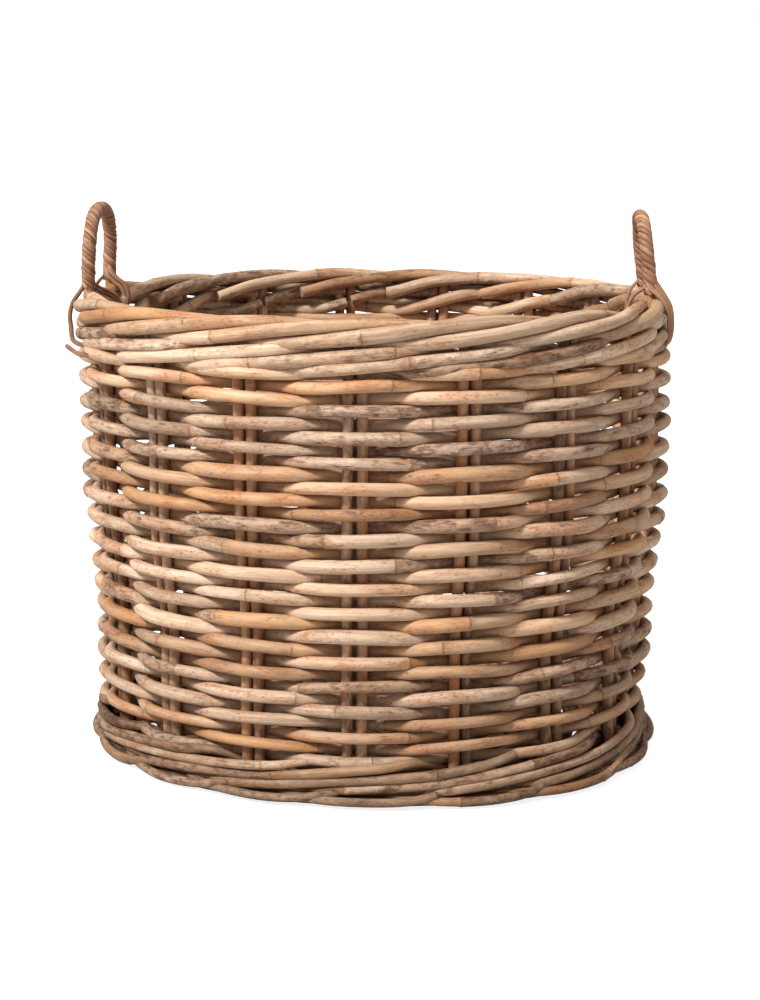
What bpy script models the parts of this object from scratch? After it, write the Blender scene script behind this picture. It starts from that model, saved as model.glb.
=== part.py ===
"""Round wicker log basket, woven from whole rattan canes over paired upright stakes, with two bow handles.

Metres, +Z up. The basket stands on z = 0 with its axis on Z. The right handle is at +X, the left one at -X.
Angles are in degrees, counterclockwise from +X as seen from above.
"""

import math

import bmesh
import bpy
from mathutils import Matrix, Vector

# Wall: pairs of straight stakes on a cone, and one spiral of canes woven round them.
PAIRS = 17  # an odd number, so that one spiral passes each pair outside and inside by turns
STEP = 360 / PAIRS
FIRST_PAIR = -STEP / 4  # leaves the same room for the legs of both handles
WALL_R0 = 0.2654  # radius of the stakes' circle at z = 0
WALL_SLOPE = 0.046  # growth of that radius with height
STAKE_R = 0.0051
STAKE_APART = 0.0124  # between the centres of a pair
STAKE_Z0, STAKE_Z1 = 0.0125, 0.4405

CANE_R = 0.0057
CANES = 8
CROSSINGS = 68  # pairs that one cane passes, four turns
FIRST_CROSSING = 17
WEAVE_Z0 = 0.0197
WEAVE_RISE = 0.00069  # from one pair to the next
WEAVE_OUT = 0.0113  # from the stakes' circle to a cane that passes outside
WEAVE_IN = 0.0115
BEND = 2.6  # half the angle that a cane runs straight in front of a pair
JOINT_GAP = 0.0022  # between the cut ends of two canes in line

# Wales: a ring of cane above the weave and one below it, outside two pairs and inside the next.
WALES = {"upper_wale": 0.4174, "foot_wale": 0.0182}
WALE_R = 0.0054
WALE_INSIDE = (2, 5, 8, 11, 14, 16)

# Rim: three thick strands that wind round the stakes' tops, rising to the right outside.
RIM_STRANDS = 3
RIM_R = 0.006
RIM_Z = 0.4405
RIM_OUT = 0.0158
RIM_UP = 0.0078
RIM_PHASE = -33
RIM_SAMPLES = 3  # points for each step
RIM_START = 42.0

# Foot: one cane ring with a flat underside.
FOOT_R = 0.0058
FOOT_SIDES = 6
FOOT_STEPS = 51

# Base: spokes that meet in a hub, and a woven disc on them.
SPOKE_Z = 0.0178
SPOKE_R = 0.005
HUB_R = 0.042
BASE_GAP = 0.0004
BASE_OUT = 0.2465
BASE_T = 0.012

# Handles: a bent core with its legs in the wall, wound with split cane, and two lashings.
LEG_ANGLE = STEP / 2
LEG_ASIDE = 4.2  # from a leg to the pair that it stands beside
HANDLES = {  # direction, lean towards the axis, and the side of its pair on which each leg stands
    "right": (FIRST_PAIR + STEP / 2 - LEG_ASIDE, 9.0, -1),
    "left": (FIRST_PAIR + STEP * 8.5 + LEG_ASIDE, 2.0, 1),
}
LEG_BENDS = {  # by pair, where a cane runs straight for longer to clear a leg
    16: (BEND, BEND),
    0: (5.5, BEND),
    1: (5.5, BEND),
    8: (BEND, 5.5),
    9: (BEND, 5.5),
    10: (BEND, BEND),
}
CORE_R = 0.0045
LEG_Z0 = 0.30
LEAN_Z = 0.456  # above here the handle leans
HANDLE_TOP = 0.530  # highest point of the core's centreline
WRAP_Z0 = 0.4585
WRAP_IN, WRAP_OUT = 0.0056, 0.0072
ARCH_POINTS = 9
NOTCH_R = 0.0053
LASH_R = 0.0013
LASH_GAP = 0.0007
LASH_ASIDE = 0.0102  # from the leg, away from its pair
LASH_POINTS = 14

COLOURS = {
    "cane": (0.55, 0.40, 0.25, 1.0),
    "stake": (0.47, 0.33, 0.20, 1.0),
    "rim": (0.60, 0.44, 0.27, 1.0),
    "base": (0.50, 0.37, 0.24, 1.0),
    "wrap": (0.36, 0.20, 0.11, 1.0),
}
ROUGHNESS = 0.65


def wall_radius(z):
    return WALL_R0 + WALL_SLOPE * z


def polar(radius, degrees, z):
    a = math.radians(degrees)
    return Vector((radius * math.cos(a), radius * math.sin(a), z))


def material(name):
    found = bpy.data.materials.get(name)
    if found:
        return found
    made = bpy.data.materials.new(name)
    made.use_nodes = True
    shader = made.node_tree.nodes["Principled BSDF"]
    shader.inputs["Base Color"].default_value = COLOURS[name]
    shader.inputs["Roughness"].default_value = ROUGHNESS
    shader.inputs["Metallic"].default_value = 0.0
    return made


def placed(name, data, look, matrix=None):
    """An object in the basket's collection, with its material."""
    made = bpy.data.objects.new(name, data)
    data.materials.append(material(look))
    BASKET.objects.link(made)
    if matrix is not None:
        made.matrix_world = matrix
    return made


def tube(name, points, radius, look, resolution=1, cyclic=False):
    """A round cane along the points."""
    curve = bpy.data.curves.new(name, "CURVE")
    curve.dimensions = "3D"
    curve.bevel_depth = radius
    curve.bevel_resolution = resolution
    curve.use_fill_caps = not cyclic
    spline = curve.splines.new("POLY")
    spline.points.add(len(points) - 1)
    for target, point in zip(spline.points, points):
        target.co = (*point, 1)
    spline.use_cyclic_u = cyclic
    return placed(name, curve, look)


def as_mesh(obj):
    """The same object as a closed mesh, so that it can be cut."""
    bpy.context.view_layer.update()
    graph = bpy.context.evaluated_depsgraph_get()
    mesh = bpy.data.meshes.new_from_object(obj.evaluated_get(graph))
    shape = bmesh.new()
    shape.from_mesh(mesh)
    bmesh.ops.remove_doubles(shape, verts=shape.verts, dist=1e-6)
    shape.to_mesh(mesh)
    shape.free()
    name, matrix = obj.name, obj.matrix_world.copy()
    bpy.data.objects.remove(obj)
    made = bpy.data.objects.new(name, mesh)
    BASKET.objects.link(made)
    made.matrix_world = matrix
    return made


def cylinder(start, end, radius, sides):
    """A closed cylinder mesh from start to end."""
    shape = bmesh.new()
    axis = end - start
    turn = Vector((0, 0, 1)).rotation_difference(axis).to_matrix().to_4x4()
    bmesh.ops.create_cone(
        shape,
        cap_ends=True,
        segments=sides,
        radius1=radius,
        radius2=radius,
        depth=axis.length,
        matrix=Matrix.Translation((start + end) / 2) @ turn,
    )
    mesh = bpy.data.meshes.new("cylinder")
    shape.to_mesh(mesh)
    shape.free()
    return mesh


def hidden(name, mesh):
    """A cutter, which is not part of the basket."""
    made = bpy.data.objects.new(name, mesh)
    CUTTERS.objects.link(made)
    made.hide_render = True
    made.display_type = "WIRE"
    return made


def cut(obj, cutter):
    change = obj.modifiers.new("cut_by_" + cutter.name, "BOOLEAN")
    change.operation = "DIFFERENCE"
    change.object = cutter


def trimmed(points, gap):
    """The points with the first and the last moved inwards by half the gap."""
    points = list(points)
    for end, inner in ((0, 1), (-1, -2)):
        along = (points[inner] - points[end]).normalized()
        points[end] = points[end] + along * gap / 2
    return points


def make_stakes():
    for pair in range(PAIRS):
        for side, letter in ((-0.5, "a"), (0.5, "b")):
            ends = []
            for z in (STAKE_Z0, STAKE_Z1):
                aside = math.degrees(side * STAKE_APART / wall_radius(z))
                ends.append(polar(wall_radius(z), FIRST_PAIR + STEP * pair + aside, z))
            mesh = cylinder(*ends, STAKE_R, 8)
            placed(f"stake_{pair + 1:02d}{letter}", mesh, "stake")


def passing(pair, angle, z, inside):
    """Where a cane runs past one pair, from its bend before the pair to its bend after it."""
    before, after = LEG_BENDS.get(pair, (0, 0) if inside else (BEND, BEND))
    radius = wall_radius(z) - WEAVE_IN if inside else wall_radius(z) + WEAVE_OUT
    if before == after == 0:
        return [polar(radius, angle, z)]
    return [polar(radius, angle - before, z), polar(radius, angle + after, z)]


def make_weave():
    """The spiral in canes that meet end to end behind a pair, inside the basket."""
    for cane in range(CANES):
        first = FIRST_CROSSING + cane * CROSSINGS
        points = []
        for crossing in range(first, first + CROSSINGS + 1):
            z = WEAVE_Z0 + WEAVE_RISE * crossing
            angle = FIRST_PAIR + STEP * crossing
            stretch = passing(crossing % PAIRS, angle, z, crossing % 2 == 1)
            if crossing == first:
                stretch = stretch[-1:]
            elif crossing == first + CROSSINGS:
                stretch = stretch[:1]
            points += stretch
        tube(f"weaver_{cane + 1:02d}", trimmed(points, JOINT_GAP), CANE_R, "cane")


def make_wales():
    for name, z in WALES.items():
        points = []
        for pair in range(PAIRS):
            points += passing(pair, FIRST_PAIR + STEP * pair, z, pair in WALE_INSIDE)
        tube(name, points, WALE_R, "rim", cyclic=True)


def rim_point(angle):
    """On the strand that winds round the rim's core circle; the angle runs on over several turns."""
    steps = (angle - FIRST_PAIR) / STEP
    wind = math.radians(RIM_PHASE + 360 / RIM_STRANDS * steps)
    radius = wall_radius(RIM_Z) + RIM_OUT * math.cos(wind)
    return polar(radius, angle, RIM_Z + RIM_UP * math.sin(wind))


def make_rim(legs):
    """Three strands, each once round, which meet end to end. The handles' legs pass through notches in them."""
    count = PAIRS * RIM_SAMPLES
    for strand in range(RIM_STRANDS):
        start = RIM_START + 360 * strand
        points = [rim_point(start + 360 * i / count) for i in range(count + 1)]
        name = f"rim_strand_{strand + 1}"
        made = as_mesh(tube(name, trimmed(points, JOINT_GAP), RIM_R, "rim"))
        for leg in legs:
            cut(made, leg)


def make_foot():
    """A turned ring whose hexagonal section lies on a flat side."""
    flat = FOOT_R * math.cos(math.pi / FOOT_SIDES)
    mesh = bpy.data.meshes.new("foot_ring")
    shape = bmesh.new()
    corners = []
    for i in range(FOOT_SIDES):
        a = math.radians(60 * i)
        place = (WALL_R0 + FOOT_R * math.cos(a), 0, flat - FOOT_R * math.sin(a))
        corners.append(shape.verts.new(place))
    for i, corner in enumerate(corners):
        shape.edges.new((corner, corners[(i + 1) % FOOT_SIDES]))
    shape.to_mesh(mesh)
    shape.free()
    ring = placed("foot_ring", mesh, "rim")
    turned = ring.modifiers.new("turn", "SCREW")
    turned.steps = turned.render_steps = FOOT_STEPS
    turned.use_merge_vertices = True
    turned.merge_threshold = 0.0001
    turned.use_normal_calculate = True


def make_base():
    """The spokes, joined in a hub, and the woven disc that lies on them."""
    low, high = Vector((0, 0, SPOKE_Z - SPOKE_R)), Vector((0, 0, SPOKE_Z + SPOKE_R))
    spokes = placed("base_spokes", cylinder(low, high, HUB_R, 2 * PAIRS), "base")
    for pair in range(PAIRS):
        angle = FIRST_PAIR + STEP * pair
        ends = polar(HUB_R - 0.006, angle, SPOKE_Z), polar(BASE_OUT, angle, SPOKE_Z)
        join = spokes.modifiers.new(f"spoke_{pair + 1:02d}", "BOOLEAN")
        join.operation = "UNION"
        join.object = hidden(f"spoke_{pair + 1:02d}", cylinder(*ends, SPOKE_R * 0.96, 6))
    low = high + Vector((0, 0, BASE_GAP))
    high = low + Vector((0, 0, BASE_T))
    placed("base_weave", cylinder(low, high, BASE_OUT, 2 * PAIRS), "base")


def leg_point(side, sign, z):
    """On a leg's centreline in the wall, which leans as the stakes do."""
    return polar(wall_radius(z), HANDLES[side][0] + sign * LEG_ANGLE, z)


def handle_points(side, low):
    """The bow's centreline, from the height low on one leg over the arch to the other leg."""
    direction, lean, _ = HANDLES[side]
    half = wall_radius(LEAN_Z) * math.sin(math.radians(LEG_ANGLE))
    middle = wall_radius(LEAN_Z) * math.cos(math.radians(LEG_ANGLE))
    spring = HANDLE_TOP - LEAN_Z - half
    turn = Matrix.Rotation(math.radians(direction), 4, "Z")
    tip = Matrix.Rotation(math.radians(-lean), 4, "Y")
    frame = turn @ Matrix.Translation((middle, 0, LEAN_Z)) @ tip
    bow = []
    for i in range(ARCH_POINTS):
        a = math.pi * i / (ARCH_POINTS - 1)
        bow.append(frame @ Vector((0, half * math.cos(a), spring + half * math.sin(a))))
    if low > LEAN_Z:
        rise = low - LEAN_Z
        return [frame @ Vector((0, half, rise)), *bow, frame @ Vector((0, -half, rise))]
    right = [leg_point(side, 1, low), leg_point(side, 1, LEAN_Z)]
    left = [leg_point(side, -1, LEAN_Z), leg_point(side, -1, low)]
    return right + bow + left


def leg_cutters():
    """A cylinder round each leg where it passes through the rim, a little wider than the leg."""
    cutters = []
    for side in HANDLES:
        for sign, letter in ((1, "a"), (-1, "b")):
            ends = leg_point(side, sign, RIM_Z - 0.03), leg_point(side, sign, RIM_Z + 0.03)
            cutters.append(hidden(f"{side}_leg_{letter}", cylinder(*ends, NOTCH_R, 8)))
    return cutters


def make_wrap(side):
    """The winding of split cane as one sleeve round the core, open at both ends."""
    name = f"{side}_handle_wrap"
    curve = tube(name, handle_points(side, WRAP_Z0), WRAP_IN, "wrap", 2)
    curve.data.use_fill_caps = False
    sleeve = as_mesh(curve)
    wall = sleeve.modifiers.new("thickness", "SOLIDIFY")
    wall.thickness = WRAP_OUT - WRAP_IN
    wall.offset = 1


def make_lashing(side, angle, name):
    """A ring of split cane round the rim, beside one leg."""
    out = RIM_OUT + RIM_R + LASH_R + LASH_GAP
    up = RIM_UP + RIM_R + LASH_R + LASH_GAP
    middle = wall_radius(RIM_Z)
    points = []
    for i in range(LASH_POINTS):
        a = 2 * math.pi * i / LASH_POINTS
        points.append(polar(middle + out * math.cos(a), angle, RIM_Z + up * math.sin(a)))
    tube(name, points, LASH_R, "wrap", 1, cyclic=True)


def make_handles():
    aside = math.degrees(LASH_ASIDE / wall_radius(RIM_Z))
    for side, (direction, _, beside) in HANDLES.items():
        tube(f"{side}_handle_core", handle_points(side, LEG_Z0), CORE_R, "stake", 1)
        make_wrap(side)
        for sign, end in ((1, "a"), (-1, "b")):
            angle = direction + sign * LEG_ANGLE + beside * aside
            make_lashing(side, angle, f"{side}_handle_lashing_{end}")


for old in list(bpy.data.objects):
    bpy.data.objects.remove(old)
BASKET = bpy.data.collections.new("log_basket")
CUTTERS = bpy.data.collections.new("cutters")
for group in (BASKET, CUTTERS):
    bpy.context.scene.collection.children.link(group)

make_stakes()
make_weave()
make_wales()
make_rim(leg_cutters())
make_foot()
make_base()
make_handles()
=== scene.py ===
"""Looks for the round wicker log basket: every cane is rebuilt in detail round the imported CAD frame."""

import math

import bpy
import numpy as np
from mathutils import Euler, Matrix


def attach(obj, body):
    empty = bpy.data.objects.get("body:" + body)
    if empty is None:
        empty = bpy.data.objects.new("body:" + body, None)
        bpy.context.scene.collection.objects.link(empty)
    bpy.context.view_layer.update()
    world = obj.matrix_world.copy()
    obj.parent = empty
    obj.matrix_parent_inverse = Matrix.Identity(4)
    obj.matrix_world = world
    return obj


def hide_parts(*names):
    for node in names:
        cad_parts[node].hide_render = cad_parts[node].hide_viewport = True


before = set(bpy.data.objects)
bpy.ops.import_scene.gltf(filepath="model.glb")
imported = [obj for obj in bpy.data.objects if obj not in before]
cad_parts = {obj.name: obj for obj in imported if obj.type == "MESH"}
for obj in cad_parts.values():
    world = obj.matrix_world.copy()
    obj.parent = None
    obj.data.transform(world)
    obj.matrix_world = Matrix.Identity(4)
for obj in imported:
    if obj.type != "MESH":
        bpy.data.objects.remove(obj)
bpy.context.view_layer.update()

# Wall, in metres and degrees. Pairs of stakes stand on a cone, counted counterclockwise from +X.
PAIRS = 17
STEP = 360 / PAIRS
FIRST_PAIR = -STEP / 4
WALL_R0, WALL_SLOPE = 0.2654, 0.046
STAKE_R, STAKE_APART = 0.0054, 0.0124
SIDES = 12
SAMPLE = 0.0055  # between rings of a cane's mesh
FLOOR_SHADE, NEAR_FLOOR_Z = 0.27, 0.18  # painted shade: canes near the floor are darker, up to this height
UPPER_LIGHT, UPPER_LIGHT_TALL = 0.05, 0.20  # painted light: above it they get lighter, by this much over this height
ARC = 0.27 * math.radians(STEP)  # length of wall from one pair to the next
BULGES = (  # how far out, at what height, how tall
    (0.0032, 0.262, 0.065),
    (-0.0042, 0.155, 0.045),
)


def wall_radius(z):
    """Radius of the stakes' circle: a cone that bulges above the middle and draws in below it."""
    return WALL_R0 + WALL_SLOPE * z + sum(out * np.exp(-(((z - at) / tall) ** 2)) for out, at, tall in BULGES)


UNEVEN = (  # departures from round: how far out, in which direction, how wide, at what height, how tall
    (-0.0064, 5, 50, 0.440, 0.058),
    (0.0135, -47, 26, 0.000, 0.040),
    (-0.0085, 4, 24, 0.045, 0.036),
)


def uneven(degrees, z):
    """How far the wall stands out from its cone here."""
    total = 0
    for out, direction, wide, level, tall in UNEVEN:
        turn = (degrees - direction + 180) % 360 - 180
        total = total + out * np.exp(-((turn / wide) ** 2) - ((z - level) / tall) ** 2)
    return total


def srgb(red, green, blue):
    """A linear colour from 0-255 display values."""
    out = []
    for value in (red, green, blue):
        value /= 255
        out.append(value / 12.92 if value <= 0.04045 else ((value + 0.055) / 1.055) ** 2.4)
    return (*out, 1.0)


# ---------------------------------------------------------------- materials

STAIN, SPECKLE, SCAR = srgb(102, 68, 48), srgb(150, 98, 60), srgb(112, 76, 52)
# The second colour here is painted shade, laid into crevices between canes.
HALO, CREVICE_SHADE = srgb(158, 116, 82), srgb(78, 50, 34)


class Graph:
    """Short names for building a node tree."""

    def __init__(self, name):
        self.material = bpy.data.materials.new(name)
        self.material.use_nodes = True
        self.tree = self.material.node_tree
        self.shader = self.tree.nodes["Principled BSDF"]

    def put(self, kind, **settings):
        node = self.tree.nodes.new(kind)
        for key, value in settings.items():
            setattr(node, key, value)
        return node

    def link(self, source, target):
        self.tree.links.new(source, target)

    def feed(self, socket, value):
        if isinstance(value, bpy.types.NodeSocket):
            self.link(value, socket)
        else:
            socket.default_value = value

    def attribute(self, name):
        return self.put("ShaderNodeAttribute", attribute_name=name)

    def scaled(self, vector, scale):
        node = self.put("ShaderNodeMapping", vector_type="POINT")
        self.link(vector, node.inputs["Vector"])
        node.inputs["Scale"].default_value = scale
        return node.outputs["Vector"]

    def noise(self, vector, scale, detail=3.0, rough=0.55):
        node = self.put("ShaderNodeTexNoise")
        self.link(self.scaled(vector, scale), node.inputs["Vector"])
        node.inputs["Scale"].default_value = 1.0
        node.inputs["Detail"].default_value = detail
        node.inputs["Roughness"].default_value = rough
        return node.outputs["Fac"]

    def span(self, value, low, high, out_low=0.0, out_high=1.0):
        node = self.put("ShaderNodeMapRange", clamp=True)
        self.link(value, node.inputs["Value"])
        node.inputs["From Min"].default_value = low
        node.inputs["From Max"].default_value = high
        node.inputs["To Min"].default_value = out_low
        node.inputs["To Max"].default_value = out_high
        return node.outputs["Result"]

    def math(self, operation, a, b=0.0):
        node = self.put("ShaderNodeMath", operation=operation)
        self.feed(node.inputs[0], a)
        self.feed(node.inputs[1], b)
        return node.outputs["Value"]

    def mix(self, factor, a, b, blend="MIX"):
        node = self.put("ShaderNodeMix", data_type="RGBA", blend_type=blend)
        self.feed(node.inputs["Factor"], factor)
        self.feed(node.inputs[6], a)
        self.feed(node.inputs[7], b)
        return node.outputs[2]


def cane_material(name, light, dark, orange, rust, grey, stain=STAIN, shine=0.45):
    """Whole cane: fibre streaks along it, patches, speckles, a scar at each growth ring, and painted shade in
    crevices.
    """
    g = Graph(name)
    along = g.attribute("along").outputs["Vector"]
    tone = g.put("ShaderNodeSeparateXYZ")
    g.link(g.attribute("tone").outputs["Vector"], tone.inputs["Vector"])
    amber, worn = tone.outputs["Y"], tone.outputs["Z"]
    ring = g.math("ABSOLUTE", g.attribute("ring").outputs["Fac"])

    fibre = g.noise(along, (12, 330, 330), 4.0, 0.62)
    fine = g.noise(along, (55, 1300, 1300), 3.0, 0.6)
    patch = g.noise(along, (20, 75, 75), 3.0, 0.6)
    weather = g.noise(along, (75, 170, 170), 6.0, 0.75)
    bark = g.noise(along, (62, 150, 150), 8.0, 0.78)
    dots = g.noise(along, (240, 640, 640), 2.0, 0.5)

    colour = g.mix(g.span(fibre, 0.30, 0.68), dark, light)
    colour = g.mix(g.span(amber, 0.1, 0.95, 0.0, 0.92), colour, orange)
    rusty = g.span(g.math("ADD", patch, g.math("MULTIPLY", amber, 0.16)), 0.54, 0.73)
    colour = g.mix(g.math("MULTIPLY", rusty, 0.75), colour, rust)
    greyed = g.span(g.math("ADD", weather, g.math("MULTIPLY", worn, 0.22)), 0.55, 0.74)
    colour = g.mix(g.math("MULTIPLY", greyed, 0.8), colour, grey)
    streak = g.span(fine, 0.54, 0.76, 0.0, 0.5)
    colour = g.mix(streak, colour, stain)
    barky = g.span(g.math("ADD", bark, g.math("MULTIPLY", worn, 0.20)), 0.66, 0.77)
    barky = g.math("MULTIPLY", barky, g.span(fine, 0.36, 0.52, 0.45, 0.95))
    colour = g.mix(barky, colour, stain)
    spotted = g.math("MULTIPLY", g.span(dots, 0.55, 0.64), g.span(patch, 0.44, 0.60, 0.0, 0.75))
    colour = g.mix(spotted, colour, SPECKLE)
    scar = g.math("MULTIPLY", g.span(ring, 0.0004, 0.0015, 1.0, 0.0), g.span(weather, 0.35, 0.6, 0.15, 0.8))
    colour = g.mix(scar, colour, SCAR)
    halo = g.math("MULTIPLY", g.span(ring, 0.001, 0.012, 1.0, 0.0), g.span(weather, 0.42, 0.62, 0.0, 0.6))
    colour = g.mix(halo, colour, HALO)
    # Painted shade: darker where ambient occlusion finds other canes close by.
    occlusion = g.put("ShaderNodeAmbientOcclusion", samples=6)
    occlusion.inputs["Distance"].default_value = 0.016
    colour = g.mix(g.span(occlusion.outputs["AO"], 0.10, 0.56, 0.64, 0.0), colour, CREVICE_SHADE)
    # Times the tone's brightness, which carries each cane's own tone and the painted shade laid on in cane().
    shade = g.put("ShaderNodeCombineColor")
    for socket, power in (("Red", 1.0), ("Green", 1.14), ("Blue", 1.3)):
        g.link(g.math("POWER", tone.outputs["X"], power), shade.inputs[socket])
    colour = g.mix(1.0, colour, shade.outputs["Color"], "MULTIPLY")
    g.link(colour, g.shader.inputs["Base Color"])

    g.link(g.span(weather, 0.35, 0.7, shine, shine + 0.28), g.shader.inputs["Roughness"])
    g.shader.inputs["Specular IOR Level"].default_value = 0.4
    height = g.math("ADD", g.math("MULTIPLY", fibre, 0.5), g.math("MULTIPLY", fine, 0.35))
    height = g.math("SUBTRACT", height, g.math("MULTIPLY", barky, 0.5))
    height = g.math("SUBTRACT", height, g.math("MULTIPLY", scar, 0.7))
    bump = g.put("ShaderNodeBump")
    bump.inputs["Strength"].default_value = 0.6
    bump.inputs["Distance"].default_value = 0.0007
    g.link(height, bump.inputs["Height"])
    g.link(bump.outputs["Normal"], g.shader.inputs["Normal"])
    return g.material


def pith_material():
    """A cut end: pale, with dark pores."""
    g = Graph("cut_end")
    where = g.put("ShaderNodeTexCoord").outputs["Object"]
    pores = g.noise(where, (1500, 1500, 1500), 2.0, 0.5)
    colour = g.mix(g.span(pores, 0.5, 0.66), srgb(190, 154, 122), srgb(120, 86, 62))
    g.link(colour, g.shader.inputs["Base Color"])
    g.shader.inputs["Roughness"].default_value = 0.85
    return g.material


# Each cane's colours: light and dark fibre, orange, rust and grey.
CANE = cane_material(
    "cane",
    srgb(234, 211, 186),
    srgb(200, 158, 126),
    srgb(210, 156, 102),
    srgb(186, 124, 80),
    srgb(186, 156, 134),
)
RIM = cane_material(
    "rim_cane",
    srgb(236, 212, 184),
    srgb(196, 153, 120),
    srgb(208, 154, 100),
    srgb(182, 120, 76),
    srgb(178, 148, 124),
)
STAKE = cane_material(
    "stake_cane",
    srgb(234, 200, 166),
    srgb(182, 140, 108),
    srgb(198, 144, 98),
    srgb(172, 110, 72),
    srgb(166, 136, 114),
    shine=0.5,
)
BASE = cane_material(
    "base_cane",
    srgb(190, 156, 124),
    srgb(146, 112, 84),
    srgb(168, 124, 84),
    srgb(140, 90, 58),
    srgb(138, 114, 94),
    shine=0.6,
)
PEEL = cane_material(
    "split_cane",
    srgb(212, 172, 144),
    srgb(134, 92, 70),
    srgb(190, 138, 102),
    srgb(150, 92, 62),
    srgb(148, 116, 98),
    srgb(86, 54, 40),
    0.38,
)
PITH = pith_material()


# ---------------------------------------------------------------- canes


def wander(rng, s, wave):
    """Smooth noise along s of about unit size, with waves about that long."""
    total = np.zeros_like(s)
    for _ in range(3):
        total += np.sin(2 * np.pi * (s / (wave * rng.uniform(0.7, 1.7)) + rng.uniform()))
    return total / 1.8


def eased(x):
    """From 0 to 1 as x does, with a soft start and end, and level beyond them."""
    x = np.clip(x, 0, 1)
    return x * x * (3 - 2 * x)


def lengths_along(points):
    """How far along the path each point is."""
    steps = np.linalg.norm(np.diff(points, axis=0), axis=1)
    return np.concatenate([[0.0], np.cumsum(steps)])


def frames_along(points, up):
    """Two unit vectors across the path at each point, carried along without twist."""
    tangents = np.gradient(points, axis=0)
    tangents /= np.linalg.norm(tangents, axis=1)[:, None]
    across = np.zeros_like(points)
    side = np.cross(tangents[0], up)
    side /= np.linalg.norm(side)
    for i, tangent in enumerate(tangents):
        side = side - tangent * side.dot(tangent)
        side /= np.linalg.norm(side)
        across[i] = side
    return across, np.cross(tangents, across)


def tube(name, verts, quads, ends, look, attributes):
    """A tube of smooth quads, with flat ends that show the pith."""
    mesh = bpy.data.meshes.new(name)
    mesh.from_pydata(verts.reshape(-1, 3), [], quads.tolist() + [end.tolist() for end in ends])
    mesh.materials.append(look)
    mesh.materials.append(PITH)
    mesh.polygons.foreach_set("material_index", [0] * len(quads) + [1] * len(ends))
    mesh.polygons.foreach_set("use_smooth", [True] * len(quads) + [False] * len(ends))
    for key, values in attributes.items():
        kind = "FLOAT" if values.ndim == 1 else "FLOAT_VECTOR"
        field = "value" if values.ndim == 1 else "vector"
        made = mesh.attributes.new(key, kind, "POINT")
        made.data.foreach_set(field, values.astype(np.float32).ravel())
    mesh.update()
    made = bpy.data.objects.new(name, mesh)
    bpy.context.scene.collection.objects.link(made)
    return made


RING_LOOP = np.array([-0.0026, -0.0011, -0.0004, 0.0004, 0.0011, 0.0026])  # where a growth ring needs points
RING_CLEAR = 0.0036  # and the least distance from it to the next other point
RING_FROM_END = 0.012
BEVEL, BEVEL_LONG = 0.0006, 0.0009  # of a cut end
SWELL, SWELL_LONG = 0.00045, 0.0022  # of a growth ring
WORN_LOW = 0.3  # how much more a cane is worn at the floor


def grid_faces(rows, sides):
    """The quads of a tube with this many rings of points, and its two ends."""
    grid = np.arange(rows * sides).reshape(rows, sides)
    turned = np.roll(grid, -1, axis=1)
    quads = np.stack([grid[:-1], turned[:-1], turned[1:], grid[1:]], axis=-1).reshape(-1, 4)
    return quads, grid[0], grid[-1]


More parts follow.
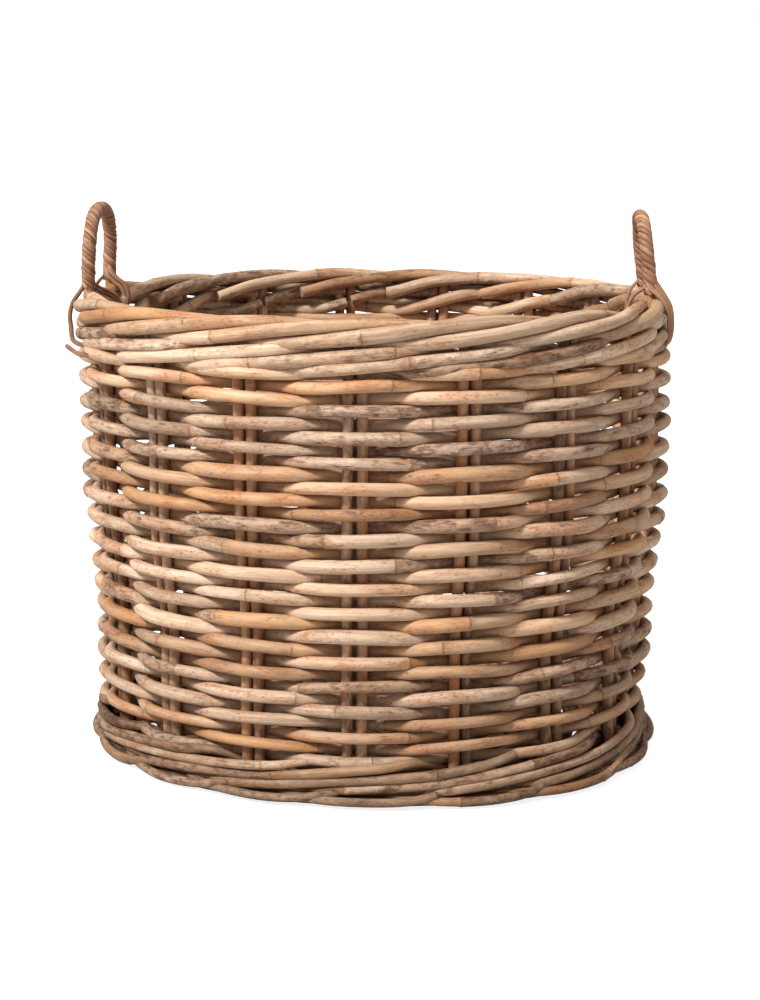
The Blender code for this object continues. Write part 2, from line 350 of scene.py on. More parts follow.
def cane(name, path, radius, rng, look=CANE, up=(0, 0, 1), tone=None, shade=None, **mesh):
    """Whole cane along the path: growth rings, slight swellings, changing tone, and cut ends."""
    sides, sample = mesh.get("sides", SIDES), mesh.get("sample", SAMPLE)
    rings = mesh.get("rings", (0.13, 0.30))
    dense = lengths_along(path)
    total = dense[-1]
    marks = []
    at = rng.uniform(0.02, rings[1])
    while at < total - RING_FROM_END:
        if at > RING_FROM_END:
            marks.append(at)
        at += rng.uniform(*rings)
    marks = np.array(marks)
    s = np.linspace(0, total, max(4, int(total / sample)))
    if len(marks):
        clear = np.abs(s[:, None] - marks).min(axis=1) > RING_CLEAR
        clear[[0, -1]] = True
        s = np.concatenate([s[clear], (marks[:, None] + RING_LOOP).ravel()])
    s = np.unique(np.concatenate([s, [BEVEL_LONG, total - BEVEL_LONG]]))
    points = np.stack([np.interp(s, dense, path[:, i]) for i in range(3)], axis=1)

    piece = np.searchsorted(marks, s) if len(marks) else np.zeros(len(s), int)
    swell = np.zeros_like(s)
    ring = np.full_like(s, 1.0)
    if len(marks):
        nearest = marks[np.abs(s[:, None] - marks).argmin(axis=1)]
        ring = s - nearest
        swell = SWELL * np.exp(-((ring / SWELL_LONG) ** 2))
    girth = 1 + rng.normal(0, 0.03, len(marks) + 1)[piece] + 0.018 * wander(rng, s, 0.09)
    base = np.interp(s, dense, radius) if np.ndim(radius) else radius
    thick = base * girth + swell
    thick[[0, -1]] -= BEVEL

    brightness, amber, worn = tone or (rng.normal(0.96, 0.10), rng.beta(0.6, 1.2), rng.beta(0.8, 1.7))
    count = len(marks) + 1
    tones = np.stack(
        [
            np.clip(brightness + rng.normal(0, 0.09, count), 0.5, 1.14),
            np.clip(amber + rng.normal(0, 0.2, count), 0, 1),
            np.clip(worn + rng.normal(0, 0.28, count), 0, 1),
        ],
        axis=1,
    )[piece]
    low = eased((NEAR_FLOOR_Z - points[:, 2]) / NEAR_FLOOR_Z)
    tones[:, 2] = np.minimum(tones[:, 2] + WORN_LOW * low, 1)
    # Painted light and shade in each cane's brightness: the shade passed in, darker near the floor, lighter
    # higher up.
    if shade is not None:
        tones[:, 0] *= np.interp(s, dense, shade)
    tones[:, 0] *= 1 - FLOOR_SHADE * low + UPPER_LIGHT * eased((points[:, 2] - NEAR_FLOOR_Z) / UPPER_LIGHT_TALL)

    across, rise = frames_along(points, np.array(up, float))
    turn = np.linspace(0, 2 * np.pi, sides, endpoint=False)
    oval = 1 + 0.035 * np.cos(2 * (turn[None] + wander(rng, s, 0.3)[:, None]))
    verts = (
        points[:, None]
        + (thick[:, None] * oval * np.cos(turn))[..., None] * across[:, None]
        + (thick[:, None] * oval * np.sin(turn))[..., None] * rise[:, None]
    )
    n = len(s)
    quads, first, last = grid_faces(n, sides)
    offset = rng.uniform(0, 40)
    girth_there = np.reshape(base, (-1, 1)) * np.ones((n, 1))
    along = np.stack(
        [
            np.repeat(s + offset, sides).reshape(n, sides),
            girth_there * np.cos(turn),
            girth_there * np.sin(turn),
        ],
        axis=-1,
    ).reshape(-1, 3)
    attributes = {
        "along": along,
        "tone": np.repeat(tones, sides, axis=0),
        "ring": np.repeat(ring, sides),
    }
    return tube(name, verts, quads[:, ::-1], (first, last[::-1]), look, attributes)


def polar(radius, degrees, z):
    """Points from radii, angles and heights, each of them one number or an array."""
    radius, a, z = np.broadcast_arrays(np.asarray(radius, float), np.radians(degrees), z)
    radius = radius * (1 + uneven(np.degrees(a), z) / WALL_R0)
    return np.stack([radius * np.cos(a), radius * np.sin(a), z], axis=-1)


def keep(piece, node):
    """The piece rides with the basket and stands for this CAD node."""
    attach(piece, "root")
    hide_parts(node)


# ---------------------------------------------------------------- camera, light and floor

CAMERA_ANGLE, CAMERA_AWAY, CAMERA_UP = -86.3, 2.292, 0.653
CAMERA_TILT, CAMERA_ROLL = 10.25, 0.3
FOCAL, CAMERA_SHIFT = 81.6, 0.0052
AMBIENT, AMBIENT_TINT = 0.44, (1.0, 0.93, 0.84, 1)
FLOOR_HALF, FLOOR_BELOW = 30.0, 0.0005
FLOOR_WHITE, FLOOR_GLOW, FLOOR_GLOW_SEEN = 0.4, 0.1, 0.84


def photo_camera():
    """The photograph's camera."""
    data = bpy.data.cameras.new("camera")
    data.sensor_fit = "VERTICAL"
    data.sensor_height = 36.0
    data.sensor_width = 36.0
    data.lens = FOCAL
    camera = bpy.data.objects.new("camera", data)
    bpy.context.scene.collection.objects.link(camera)
    a = math.radians(CAMERA_ANGLE)
    camera.location = (CAMERA_AWAY * math.cos(a), CAMERA_AWAY * math.sin(a), CAMERA_UP)
    aim = Euler((math.radians(90 - CAMERA_TILT), 0, a + math.pi / 2)).to_matrix()
    camera.rotation_euler = (aim @ Matrix.Rotation(math.radians(CAMERA_ROLL), 3, "Z")).to_euler()
    data.shift_x = CAMERA_SHIFT
    bpy.context.scene.camera = camera


def sun(name, azimuth, height, power, spread, colour=(1, 1, 1)):
    """A broad, even light from an azimuth and a height above the horizon, in degrees."""
    data = bpy.data.lights.new(name, "SUN")
    data.energy = power
    data.angle = math.radians(spread)
    data.color = colour
    lamp = bpy.data.objects.new(name, data)
    bpy.context.scene.collection.objects.link(lamp)
    lamp.rotation_euler = (math.radians(90 - height), 0, math.radians(azimuth + 90))


def studio():
    """White surroundings, dimmer as a light than as a background, and a key light from the left in front."""
    world = bpy.data.worlds.new("studio")
    bpy.context.scene.world = world
    world.use_nodes = True
    sky = world.node_tree.nodes["Background"]
    rays = world.node_tree.nodes.new("ShaderNodeLightPath")
    tint = world.node_tree.nodes.new("ShaderNodeMix")
    tint.data_type = "RGBA"
    tint.inputs[6].default_value = AMBIENT_TINT
    tint.inputs[7].default_value = (1, 1, 1, 1)
    world.node_tree.links.new(rays.outputs["Is Camera Ray"], tint.inputs["Factor"])
    world.node_tree.links.new(tint.outputs[2], sky.inputs["Color"])
    level = world.node_tree.nodes.new("ShaderNodeMapRange")
    level.inputs["To Min"].default_value = AMBIENT
    level.inputs["To Max"].default_value = 1.0
    world.node_tree.links.new(rays.outputs["Is Camera Ray"], level.inputs["Value"])
    world.node_tree.links.new(level.outputs["Result"], sky.inputs["Strength"])
    sun("key", -132, 45, 3.55, 10, (1.0, 0.995, 0.985))
    sun("top", 0, 85, 0.5, 60)
    mesh = bpy.data.meshes.new("floor")
    corners = [(x * FLOOR_HALF, y * FLOOR_HALF, 0) for x, y in ((-1, -1), (1, -1), (1, 1), (-1, 1))]
    mesh.from_pydata(corners, [], [(0, 1, 2, 3)])
    floor = bpy.data.objects.new("floor", mesh)
    bpy.context.scene.collection.objects.link(floor)
    paint = Graph("floor")
    paint.shader.inputs["Base Color"].default_value = (FLOOR_WHITE, FLOOR_WHITE, FLOOR_WHITE, 1)
    paint.shader.inputs["Emission Color"].default_value = (1, 1, 1, 1)
    seen = paint.put("ShaderNodeLightPath").outputs["Is Camera Ray"]
    glow = paint.span(seen, 0.0, 1.0, FLOOR_GLOW, FLOOR_GLOW_SEEN)
    paint.link(glow, paint.shader.inputs["Emission Strength"])
    paint.shader.inputs["Roughness"].default_value = 0.9
    mesh.materials.append(paint.material)
    floor.location.z = -FLOOR_BELOW
    bpy.context.scene.view_settings.view_transform = "Standard"
    bpy.context.scene.view_settings.look = "None"


photo_camera()
studio()

# ---------------------------------------------------------------- stakes

rng = np.random.default_rng(1117)
STAKE_Z0, STAKE_Z1 = 0.006, 0.440
STAKE_SWAY, STAKE_BEND, STAKE_TURN = 0.0011, 0.0006, 0.12  # along the wall, out of it, and in degrees
for pair in range(PAIRS):
    for side, letter in ((-0.5, "a"), (0.5, "b")):
        z = np.linspace(STAKE_Z0, STAKE_Z1, 120)
        apart = STAKE_APART * side + STAKE_SWAY * wander(rng, z, 0.45)
        angle = FIRST_PAIR + STEP * pair + np.degrees(apart / wall_radius(z)) + rng.normal(0, STAKE_TURN)
        path = polar(wall_radius(z) + STAKE_BEND * wander(rng, z, 0.2), angle, z)
        # Painted light: stakes are a little brighter than the canes, against the shadow the canes cast on
        # them.
        tone = (rng.normal(1.04, 0.06), rng.uniform(0.0, 1.0), rng.uniform(0.0, 0.7))
        name = f"stake_{pair + 1:02d}{letter}"
        girth = rng.normal(STAKE_R, 0.00012)
        made = cane(name + "_cane", path, girth, rng, STAKE, (1, 0.3, 0), tone, sides=10, sample=0.009)
        keep(made, name)

# ---------------------------------------------------------------- side weaving

WEAVE_Z0, WEAVE_RISE = 0.0197, 0.00069
WEAVE_AMPLITUDE = 0.0115
WEAVE_R = 0.0065
LOW_THINNER, LOW_Z, LOW_TALL = 0.13, 0.17, 0.11  # canes of the lowest rows are thinner by this part
FIRST_CROSSING, LAST_CROSSING = 17, 561
CALM_LOW, CALM_HIGH, CALM_TALL = 0.03, 0.41, 0.02  # no sway beyond these heights, and all of it this far in
SETTLED, SETTLED_LOW, SETTLED_Z = 0.0013, 0.0021, 0.42  # at the top, how much more at the floor, and the top
SWAY, SHAKE = 0.0018, 0.0008  # of the rows together, and of each alone
# Painted shade on canes behind the stakes: how much darker, from where, and over what distance.
BEHIND_SHADE, BEHIND_SHADE_FROM, BEHIND_SHADE_WIDE = 0.13, 0.002, 0.012
sway_rng = np.random.default_rng(31)
SWAYS = [  # waves round the basket, their height, and two phases
    (sway_rng.integers(2, 9), sway_rng.uniform(0.04, 0.12), *sway_rng.uniform(0, 2 * np.pi, 2))
    for _ in range(7)
]


def sway(angle, z):
    """A slow rise and fall of the rows round the basket, which neighbouring rows share."""
    total = 0
    for waves, height, phase, tilt in SWAYS:
        total = total + np.sin(waves * np.radians(angle) + phase) * np.sin(2 * np.pi * z / height + tilt)
    return total / 2.6


def weave_path(first, last, rng):
    """The side weaving's spiral from one crossing to another, and its painted shade."""
    u = np.arange(first, last + 1e-9, 1 / 24)
    z = WEAVE_Z0 + WEAVE_RISE * u
    angle = FIRST_PAIR + STEP * u
    s = u * ARC
    free = np.clip((z - CALM_LOW) / CALM_TALL, 0, 1) * np.clip((CALM_HIGH - z) / CALM_TALL, 0, 1)
    z = z + (SWAY * sway(angle, z) + SHAKE * wander(rng, s, 0.16)) * free
    offset = WEAVE_AMPLITUDE * np.cos(np.pi * u) + 0.0007 * wander(rng, s, 0.1)
    # Canes lie higher outside the stakes than inside, most of all near the floor.
    settled = SETTLED + SETTLED_LOW * (1 - z / SETTLED_Z)
    z = z + settled * np.cos(np.pi * u) * free
    radius = wall_radius(z) + offset
    return polar(radius, angle, z), behind_shade(offset)


def behind_shade(offset):
    """Painted shade: canes are darker on their way behind the stakes, where they lie in shadow."""
    return 1 - BEHIND_SHADE * eased((BEHIND_SHADE_FROM - offset) / BEHIND_SHADE_WIDE)


WEAVERS = 8  # nodes that share the spiral
SHORTEST, OVERLAP = 10, 0.35  # of a cane, in crossings
at, number = FIRST_CROSSING, 0
while at < LAST_CROSSING:
    end = min(at + 2 * rng.integers(9, 15), LAST_CROSSING)
    if LAST_CROSSING - end < SHORTEST:
        end = LAST_CROSSING
    number += 1
    path, shade = weave_path(at, end + (OVERLAP if end < LAST_CROSSING else 0), rng)
    node = 1 + int((0.5 * (at + end) - FIRST_CROSSING) * WEAVERS // (LAST_CROSSING - FIRST_CROSSING))
    girth = rng.normal(WEAVE_R, 0.0004) * (1 - LOW_THINNER * eased((LOW_Z - path[:, 2]) / LOW_TALL))
    made = cane(f"weaver_cane_{number:02d}", path, girth, rng, shade=shade)
    keep(made, f"weaver_{node:02d}")
    at = end

# ---------------------------------------------------------------- wales

WALE_IN = 0.0113  # from the stakes' circle to a strand behind them
WALE_DROP = 0.86  # pairs that a strand takes to go in or out
WALE_GAP = 0.04  # and between one cane and the next


def wale_path(first, last, period, low, climb, outside, loose, back_up, rng):
    """A strand that runs outside period - 1 pairs, rising, and drops back behind the next pair."""
    u = np.arange(first, last + 1e-9, 1 / 20)
    phase = np.mod(u, period)
    from_inside = np.minimum(phase, period - phase)
    inward = 0.5 * (1 + np.cos(np.pi * np.clip(from_inside / WALE_DROP, 0, 1)))
    offset = outside - (outside + WALE_IN) * inward
    rise = climb * (period - 1)
    z = low + rise * np.clip((phase - 0.5) / (period - 1), 0, 1)
    back = np.where(phase > period - 0.5, phase - period, phase)
    z = np.where(from_inside < 0.5, low + rise * (1 - eased(back + 0.5)), z)
    s = u * ARC
    angle = FIRST_PAIR + STEP * u
    z = z + loose * wander(rng, s, 0.2) + back_up * eased(np.sin(np.radians(angle)))
    radius = wall_radius(z) + offset + loose * wander(rng, s, 0.15)
    # The wale's strands get the same painted shade behind the stakes.
    return polar(radius, angle, z), behind_shade(offset)


def wale(node, start, period, girth, tones, stretch, rng, **shape):
    """The whole wale: one strand, in several canes, that goes round as many times as its period."""
    brightness, amber, worn = tones
    at, end_all, number = start, start + PAIRS * period, 0
    while at < end_all:
        end = min(at + period * rng.integers(*stretch), end_all)
        if end_all - end < period * 2:
            end = end_all
        number += 1
        path, shade = wale_path(at, end - WALE_GAP, period, rng=rng, **shape)
        tone = (rng.normal(brightness, 0.09), rng.beta(*amber), rng.beta(*worn))
        thick = rng.normal(girth, 0.0003)
        made = cane(f"{node}_cane_{number}", path, thick, rng, RIM, tone=tone, shade=shade)
        keep(made, node)
        at = end


wale(
    "upper_wale",
    start=6,
    period=3,
    girth=0.0063,
    tones=(1.0, (1.2, 2.0), (1.2, 1.5)),
    stretch=(3, 6),
    rng=np.random.default_rng(57),
    low=0.4052,
    climb=0.0104,
    outside=0.0108,
    loose=0.0007,
    back_up=0.0020,  # higher at the back
)
wale(
    "foot_wale",
    start=8,
    period=4,
    girth=0.0047,
    # Darker than the upper wale: in part the foot canes' own colour, in part painted shade near the floor.
    tones=(0.74, (1.0, 2.0), (2.0, 1.2)),
    stretch=(2, 5),
    rng=np.random.default_rng(91),
    low=0.0120,
    climb=0.0090,
    outside=0.0150,
    loose=0.0014,
    back_up=0.0,
)

# ---------------------------------------------------------------- foot

FOOT_REACH = 0.0222  # from the stakes' circle to the outside of each foot cane's bow
FOOT_CANE_R, FOOT_SPAN = 0.0044, 2.35  # each reaches over this many pairs
FOOT_IN, FOOT_ARC = 0.007, 0.1
FOOT_Z, FOOT_DROOP, FOOT_CLIMB, FOOT_TIP = 0.0145, 0.0096, 0.004, 0.010
LINING_R, HOOP, HOOP_TURN = 0.0050, 358.5, 40  # degrees that a hoop reaches round, and between their joins
LININGS = (  # hoops that close the foot: distance out from the wall's own radius, and height
    (0.0112, 0.0056),
    (0.0104, 0.0150),
    (-0.0100, 0.0060),
    (-0.0100, 0.0160),
    (-0.0106, 0.0262),
)
rng = np.random.default_rng(272)
for k in range(PAIRS):
    t = np.linspace(0, 1, 60)
    u = k + FOOT_SPAN * t
    s = u * FOOT_ARC
    bow = np.sin(np.pi * np.clip(t, 0.04, 0.96)) ** 0.7
    offset = -FOOT_IN + (FOOT_REACH + FOOT_IN) * bow + 0.0008 * wander(rng, s, 0.1)
    z = FOOT_Z - FOOT_DROOP * bow + FOOT_CLIMB * t + FOOT_TIP * eased((t - 0.6) / 0.4)
    z = z + 0.0003 * wander(rng, s, 0.2)
    path = polar(wall_radius(z) + offset, FIRST_PAIR + STEP * u, z)
    # Darker than the wall's canes: in part their own colour, in part painted shade near the floor.
    tone = (rng.normal(0.70, 0.15), rng.beta(1.5, 1.5), rng.beta(1.5, 1.5))
    made = cane(f"foot_cane_{k + 1:02d}", path, rng.normal(FOOT_CANE_R, 0.0002), rng, RIM, tone=tone)
    keep(made, "foot_ring")

for number, (offset, level) in enumerate(LININGS):
    degrees = np.linspace(HOOP_TURN * number, HOOP_TURN * number + HOOP, 600)
    path = polar(WALL_R0 + offset + 0.0005 * wander(rng, degrees, 40), degrees, level)
    # Painted shade: the hoops' low tone makes the gaps they close read as shadow.
    made = cane(f"foot_lining_{number + 1}", path, LINING_R, rng, RIM, tone=(0.52, 0.6, 0.7), sample=0.009)
    keep(made, "foot_ring")

# ---------------------------------------------------------------- base

SPOKE_Z, SPOKE_R, BASE_R = 0.0185, 0.0043, 0.0041
SPOKE_START, SPOKE_END = 0.010, 0.2475
BASE_START, BASE_END, BASE_PITCH = 0.052, 0.2445, 0.0080
HUB_CANE_R, HUB_PITCH = 0.0026, 0.0054
rng = np.random.default_rng(606)
for pair in range(PAIRS):
    r = np.linspace(SPOKE_START, SPOKE_END, 60)
    angle = FIRST_PAIR + STEP * pair + np.degrees(0.0008 * wander(rng, r, 0.3) / 0.1)
    path = polar(r, angle, SPOKE_Z)
    tone = (rng.normal(0.9, 0.07), rng.uniform(0, 0.8), rng.uniform(0, 0.8))
    made = cane(f"base_spoke_{pair + 1:02d}", path, SPOKE_R, rng, BASE, tone=tone, sides=8, sample=0.012)
    keep(made, "base_spokes")
crossings = int((BASE_END - BASE_START) / BASE_PITCH * PAIRS)
for number, first in enumerate(range(0, crossings, 2 * PAIRS)):
    last = min(first + 2 * PAIRS, crossings)
    u = np.arange(first, last + 0.3, 1 / 12)
    radius = BASE_START + BASE_PITCH * u / PAIRS
    s = radius * np.radians(STEP) * u
    height = SPOKE_Z + (SPOKE_R + BASE_R) * np.cos(np.pi * u) + 0.0003 * wander(rng, s, 0.2)
    path = polar(radius + 0.0005 * wander(rng, s, 0.15), FIRST_PAIR + STEP * u, height)
    girth = rng.normal(BASE_R, 0.00015)
    made = cane(f"base_cane_{number + 1:02d}", path, girth, rng, BASE, sides=8, sample=0.006)
    keep(made, "base_weave")
for number, level in enumerate((SPOKE_Z - SPOKE_R - HUB_CANE_R, SPOKE_Z + SPOKE_R + HUB_CANE_R)):
    turns = np.linspace(0.55, BASE_START / HUB_PITCH, 420)
    path = polar(HUB_PITCH * turns, 360 * turns, level)
    made = cane(f"hub_cane_{number + 1}", path, HUB_CANE_R, rng, BASE, sides=8, sample=0.004)
    keep(made, "base_weave")

# ---------------------------------------------------------------- border

RIM_Z = 0.4385
RIM_OUT, RIM_UP, RIM_ARC = 0.0114, 0.0092, 0.105
WIND = 90.0  # degrees of turn round the border's middle for each step
WIND_START, WIND_END = -100, 212
RIM_CANE_R, RIM_INWARD, RIM_DROOP = 0.0066, 0.0050, 0.0052  # its end lies in and down by these
rng = np.random.default_rng(404)
for k in range(PAIRS):
    t = np.linspace(WIND_START, WIND_END + rng.uniform(-8, 14), 120)
    u = k + (t - WIND_START) / WIND
    s = u * RIM_ARC
    wind = np.radians(t + 3 * wander(rng, s, 0.3))
    inward = RIM_INWARD * eased((t - 165) / 60)
    offset = RIM_OUT * np.cos(wind) - inward + 0.0007 * wander(rng, s, 0.12)
    z = RIM_Z + RIM_UP * np.sin(wind) - RIM_DROOP * eased((t - 175) / 50) + 0.0007 * wander(rng, s, 0.15)
    path = polar(wall_radius(RIM_Z) + offset, FIRST_PAIR + STEP * u, z)
    shade = 1 - 0.12 * eased(-offset / RIM_OUT)
    tone = (rng.normal(0.90, 0.09), rng.beta(0.8, 2.2), rng.beta(1.0, 1.8))
    girth = rng.normal(RIM_CANE_R, 0.0003)
    made = cane(f"rim_cane_{k + 1:02d}", path, girth, rng, RIM, tone=tone, shade=shade, rings=(0.15, 0.30))
    keep(made, f"rim_strand_{k % 3 + 1}")

# ---------------------------------------------------------------- handles

LEG_ANGLE = STEP / 2
LEG_ASIDE = 4.2
# Direction, lean towards the axis, highest point, and how far the legs stand in from the stakes' circle.
HANDLES = {
    "right": (FIRST_PAIR + STEP / 2 - LEG_ASIDE, 6.5, 0.5305, 0.0025),
    "left": (FIRST_PAIR + STEP * 8.5 + LEG_ASIDE, 2.0, 0.5335, -0.002),
}
CORE_R, LEG_Z0, LEAN_Z = 0.0046, 0.30, 0.456
IN_Z = 0.38  # the legs start to stand in here
BOW_RISE, BOW_SQUARE = 0.74, 0.82  # the arch's height in half widths, and a power that squares its shoulders


def smooth_curve(points, count):
    """A Catmull-Rom curve through the points."""
    p = np.asarray(points, float)
    p = np.vstack([2 * p[0] - p[1], p, 2 * p[-1] - p[-2]])
    t = np.linspace(0, len(p) - 3 - 1e-9, count)
    i = t.astype(int)
    f = (t - i)[:, None]
    a, b, c, d = p[i], p[i + 1], p[i + 2], p[i + 3]
    return 0.5 * (2 * b + (c - a) * f + (2 * a - 5 * b + 4 * c - d) * f**2 + (3 * b - a - 3 * c + d) * f**3)


def leg_radius(side, z):
    """Distance from the axis to a handle's legs."""
    return wall_radius(z) - HANDLES[side][3] * eased((z - IN_Z) / (LEAN_Z - IN_Z))


def handle_path(side):
    """The bow's centreline from the foot of one leg to the other, and its outward direction."""
    direction, lean, top, _ = HANDLES[side]
    d, tip = math.radians(direction), math.radians(lean)
    outward = np.array([math.cos(d), math.sin(d), 0])
    sideways = np.array([-math.sin(d), math.cos(d), 0])
    upward = np.array([0, 0, math.cos(tip)]) - outward * math.sin(tip)
    foot = leg_radius(side, LEAN_Z) * (1 + uneven(direction + LEG_ANGLE, LEAN_Z) / WALL_R0)
    half = foot * math.sin(math.radians(LEG_ANGLE))
    origin = outward * foot * math.cos(math.radians(LEG_ANGLE)) + np.array([0, 0, LEAN_Z])
    rise = BOW_RISE * half
    bow = []
    for a in np.linspace(0, math.pi, 15):
        aside = math.copysign(abs(math.cos(a)) ** BOW_SQUARE, math.cos(a))
        bow.append(origin + sideways * half * aside + upward * (top - LEAN_Z - rise + rise * math.sin(a)))
    legs = []
    for sign in (1, -1):
        z = np.linspace(LEG_Z0, LEAN_Z, 7)
        legs.append(polar(leg_radius(side, z), direction + sign * LEG_ANGLE, z))
    return smooth_curve(np.vstack([legs[0], bow, legs[1][::-1]]), 500), outward


def strand(name, points, normals, half_width, half_thick, rng, tone):
    """A split cane: a flattened strip that faces along the normals."""
    sides = 10
    s = lengths_along(points)
    tangents = np.gradient(points, axis=0)
    tangents /= np.linalg.norm(tangents, axis=1)[:, None]
    normals = normals - tangents * (normals * tangents).sum(axis=1)[:, None]
    normals /= np.linalg.norm(normals, axis=1)[:, None]
    flat = np.cross(tangents, normals)
    turn = np.linspace(0, 2 * np.pi, sides, endpoint=False)
    wide = half_width * (1 + 0.08 * wander(rng, s, 0.06))
    shape_w = np.sign(np.cos(turn)) * np.abs(np.cos(turn)) ** 0.8
    verts = (
        points[:, None]
        + (wide[:, None] * shape_w)[..., None] * flat[:, None]
        + (half_thick * np.ones((len(s), 1)) * np.sin(turn))[..., None] * normals[:, None]
    )
    n = len(s)
    quads, first, last = grid_faces(n, sides)
    across = np.stack([half_width * np.cos(turn), half_width * np.sin(turn)], axis=-1)
    lengthwise = np.repeat(s + rng.uniform(0, 30), sides)
    along = np.concatenate([lengthwise[:, None], np.tile(across, (n, 1))], axis=1)
    attributes = {
        "along": along,
        "tone": np.tile(np.array(tone, float), (n * sides, 1)),
        "ring": np.ones(n * sides),
    }
    return tube(name, verts, quads, (first[::-1], last), PEEL, attributes)


WRAP_R, WRAP_THICK, WRAP_LEAD, WRAP_Z0 = 0.0054, 0.0017, 0.0265, 0.4575
WRAP_SHADES = (1.10, 0.80, 1.00, 0.86, 1.06, 0.78)
WRAPS = {"right": (4, 0.0029), "left": (6, 0.0020)}  # strands, and half the width of each
rng = np.random.default_rng(808)
for side in HANDLES:
    path, outward = handle_path(side)
    core = cane(f"{side}_handle_cane", path, CORE_R, rng, CANE, outward, (1.0, 0.9, 0.1))
    keep(core, f"{side}_handle_core")
    wound = path[path[:, 2] > WRAP_Z0]
    s = lengths_along(wound)
    fine = np.linspace(0, s[-1], 460)
    wound = np.stack([np.interp(fine, s, wound[:, i]) for i in range(3)], axis=1)
    across, rise = frames_along(wound, outward)
    strands, half_width = WRAPS[side]
    for k in range(strands):
        turn = -2 * np.pi * (fine / WRAP_LEAD + k / strands + 0.02 * wander(rng, fine, 0.08))
        normal = np.cos(turn)[:, None] * across + np.sin(turn)[:, None] * rise
        lift = 0.0003 * wander(rng, fine, 0.05)
        points = wound + normal * (WRAP_R + lift)[:, None]
        tone = (WRAP_SHADES[k], rng.uniform(0.1, 0.9), rng.uniform(0.1, 0.8))
        made = strand(f"{side}_handle_wrap_{k + 1}", points, normal, half_width, WRAP_THICK, rng, tone)
        keep(made, f"{side}_handle_wrap")

# Lashings: split cane from the foot of each leg round the border, outside and inside. A way point is the
# distance along the border from the leg, the distance out from the stakes' circle there, and the height.
OUTER = (
    (0.0, 0.0, 0.472), (0.0, 0.007, 0.462), (0.0, 0.0155, 0.4535), (0.0, 0.0218, 0.440),
    (0.0, 0.0222, 0.422), (0.001, 0.0178, 0.409), (0.002, 0.008, 0.4035),
)
INNER = (
    (0.0, -0.002, 0.472), (0.0, -0.0085, 0.463), (0.0, -0.018, 0.455), (0.0, -0.0235, 0.441),
    (0.0, -0.0225, 0.425), (0.001, -0.015, 0.413), (0.002, -0.006, 0.408),
)
FRONT_OUT = (
    (-0.0005, 0.0015, 0.4715), (-0.001, 0.0075, 0.4640), (-0.002, 0.0145, 0.4550),
    (-0.002, 0.0200, 0.4460), (-0.002, 0.0222, 0.4340), (-0.002, 0.0215, 0.4215),
    (-0.001, 0.0175, 0.4105), (0.001, 0.008, 0.4045),
)
FRONT_IN = (
    (-0.0050, -0.0050, 0.4690), (-0.0075, -0.0005, 0.4620), (-0.0085, 0.0070, 0.4565),
    (-0.0085, 0.0140, 0.4485), (-0.0075, 0.0185, 0.4370), (-0.0060, 0.0185, 0.4225),
    (-0.0040, 0.0165, 0.4110), (-0.001, 0.0080, 0.4045),
)
OVER = (
    (0.0030, 0.001, 0.4735), (0.0072, -0.003, 0.4660), (0.0066, -0.0095, 0.4590),
    (0.0045, -0.0165, 0.4525), (0.0020, -0.0200, 0.440), (0.001, -0.016, 0.426),
)
LOOP = (
    (0.0, 0.0, 0.472), (0.0, 0.004, 0.4625), (0.0, 0.0102, 0.4535), (0.0, 0.0175, 0.4425),
    (0.0, 0.0205, 0.4300), (-0.004, 0.0196, 0.4195), (-0.015, 0.0190, 0.4120),
    (-0.036, 0.0184, 0.4085), (-0.062, 0.0150, 0.4075),
)
ACROSS = (
    (0.003, -0.004, 0.4615), (0.016, -0.0085, 0.4568), (0.030, -0.0155, 0.4522),
    (0.042, -0.0225, 0.4460), (0.050, -0.0250, 0.4370), (0.052, -0.022, 0.424),
)
TAIL = (
    (-0.020, 0.0235, 0.4012), (-0.040, 0.0206, 0.4000), (-0.067, 0.0187, 0.3994),
    (-0.088, 0.0150, 0.4000),
)
STRIP, THICK_STRIP = (0.0028, 0.0016), (0.0028, 0.0023)  # half the width and half the thickness
WIDE_STRIP = (0.0034, 0.0018)
PULL_DOWN, HEART_BELOW = 0.009, 0.008


def between(first, second, part):
    """A way that lies this part of the distance from the first to the second."""
    return tuple(tuple(a + (b - a) * part for a, b in zip(p, q)) for p, q in zip(first, second))


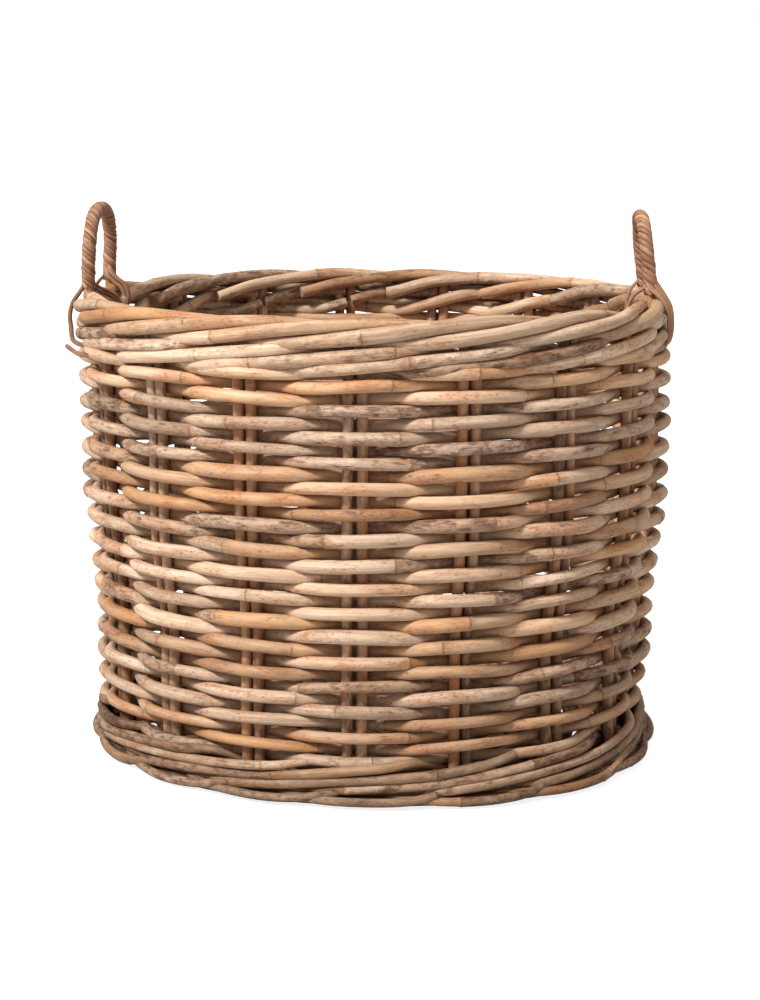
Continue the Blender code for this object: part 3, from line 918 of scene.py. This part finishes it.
def lash(name, side, sign, way, shift, pull, size, node, rng):
    """One strip of a lashing, shifted along the border and pulled in towards it."""
    angle = HANDLES[side][0] + sign * LEG_ANGLE
    middle = wall_radius(RIM_Z) - 0.5 * HANDLES[side][3]
    along, out, z = smooth_curve(np.array(way), 70).T
    t = np.linspace(0, 1, len(z))
    spread = shift * eased(0.3 + 3 * t)
    out = out * (1 - pull * np.sin(np.pi * t))
    z = z - PULL_DOWN * pull * np.sin(np.pi * t)
    turn = angle - sign * np.degrees((along + spread) / middle)
    points = polar(middle + out, turn, z)
    heart = polar(middle, turn, RIM_Z - HEART_BELOW)
    tone = (rng.normal(0.93, 0.10), rng.uniform(0.3, 0.9), rng.uniform(0.1, 0.6))
    made = strand(name, points, points - heart, *size, rng, tone)
    keep(made, node)


rng = np.random.default_rng(515)
LASHES = {  # side and leg: each strip's way, its shift along the border, its pull towards it, and its size
    ("right", -1): (
        *((between(FRONT_OUT, FRONT_IN, part), 0.0, 0.0, STRIP) for part in (0.0, 0.34, 0.67, 1.0)),
        (INNER, -0.003, 0.0, WIDE_STRIP),
    ),
    ("right", 1): ((OUTER, -0.003, 0.0, STRIP), (OUTER, 0.0015, 0.1, STRIP), (INNER, 0.0, 0.24, STRIP)),
    ("left", 1): (
        (LOOP, 0.0, 0.0, THICK_STRIP),
        *(([(a, b, c - down) for a, b, c in ACROSS], 0.0, 0.0, STRIP) for down in (0.0, 0.0036, 0.0072)),
        (TAIL, 0.0, 0.0, THICK_STRIP),
    ),
    ("left", -1): (
        (OUTER, -0.001, 0.0, STRIP),
        (OUTER, 0.0035, 0.1, STRIP),
        (OVER, 0.0, 0.0, THICK_STRIP),
        ([(a + 0.001, b + 0.003, c - 0.0034) for a, b, c in OVER], 0.0, 0.0, THICK_STRIP),
    ),
}
for (side, sign), strips in LASHES.items():
    node = f"{side}_handle_lashing_{'a' if sign > 0 else 'b'}"
    for number, (way, shift, pull, size) in enumerate(strips):
        lash(f"{node}_strip_{number + 1}", side, sign, way, shift, pull, size, node, rng)
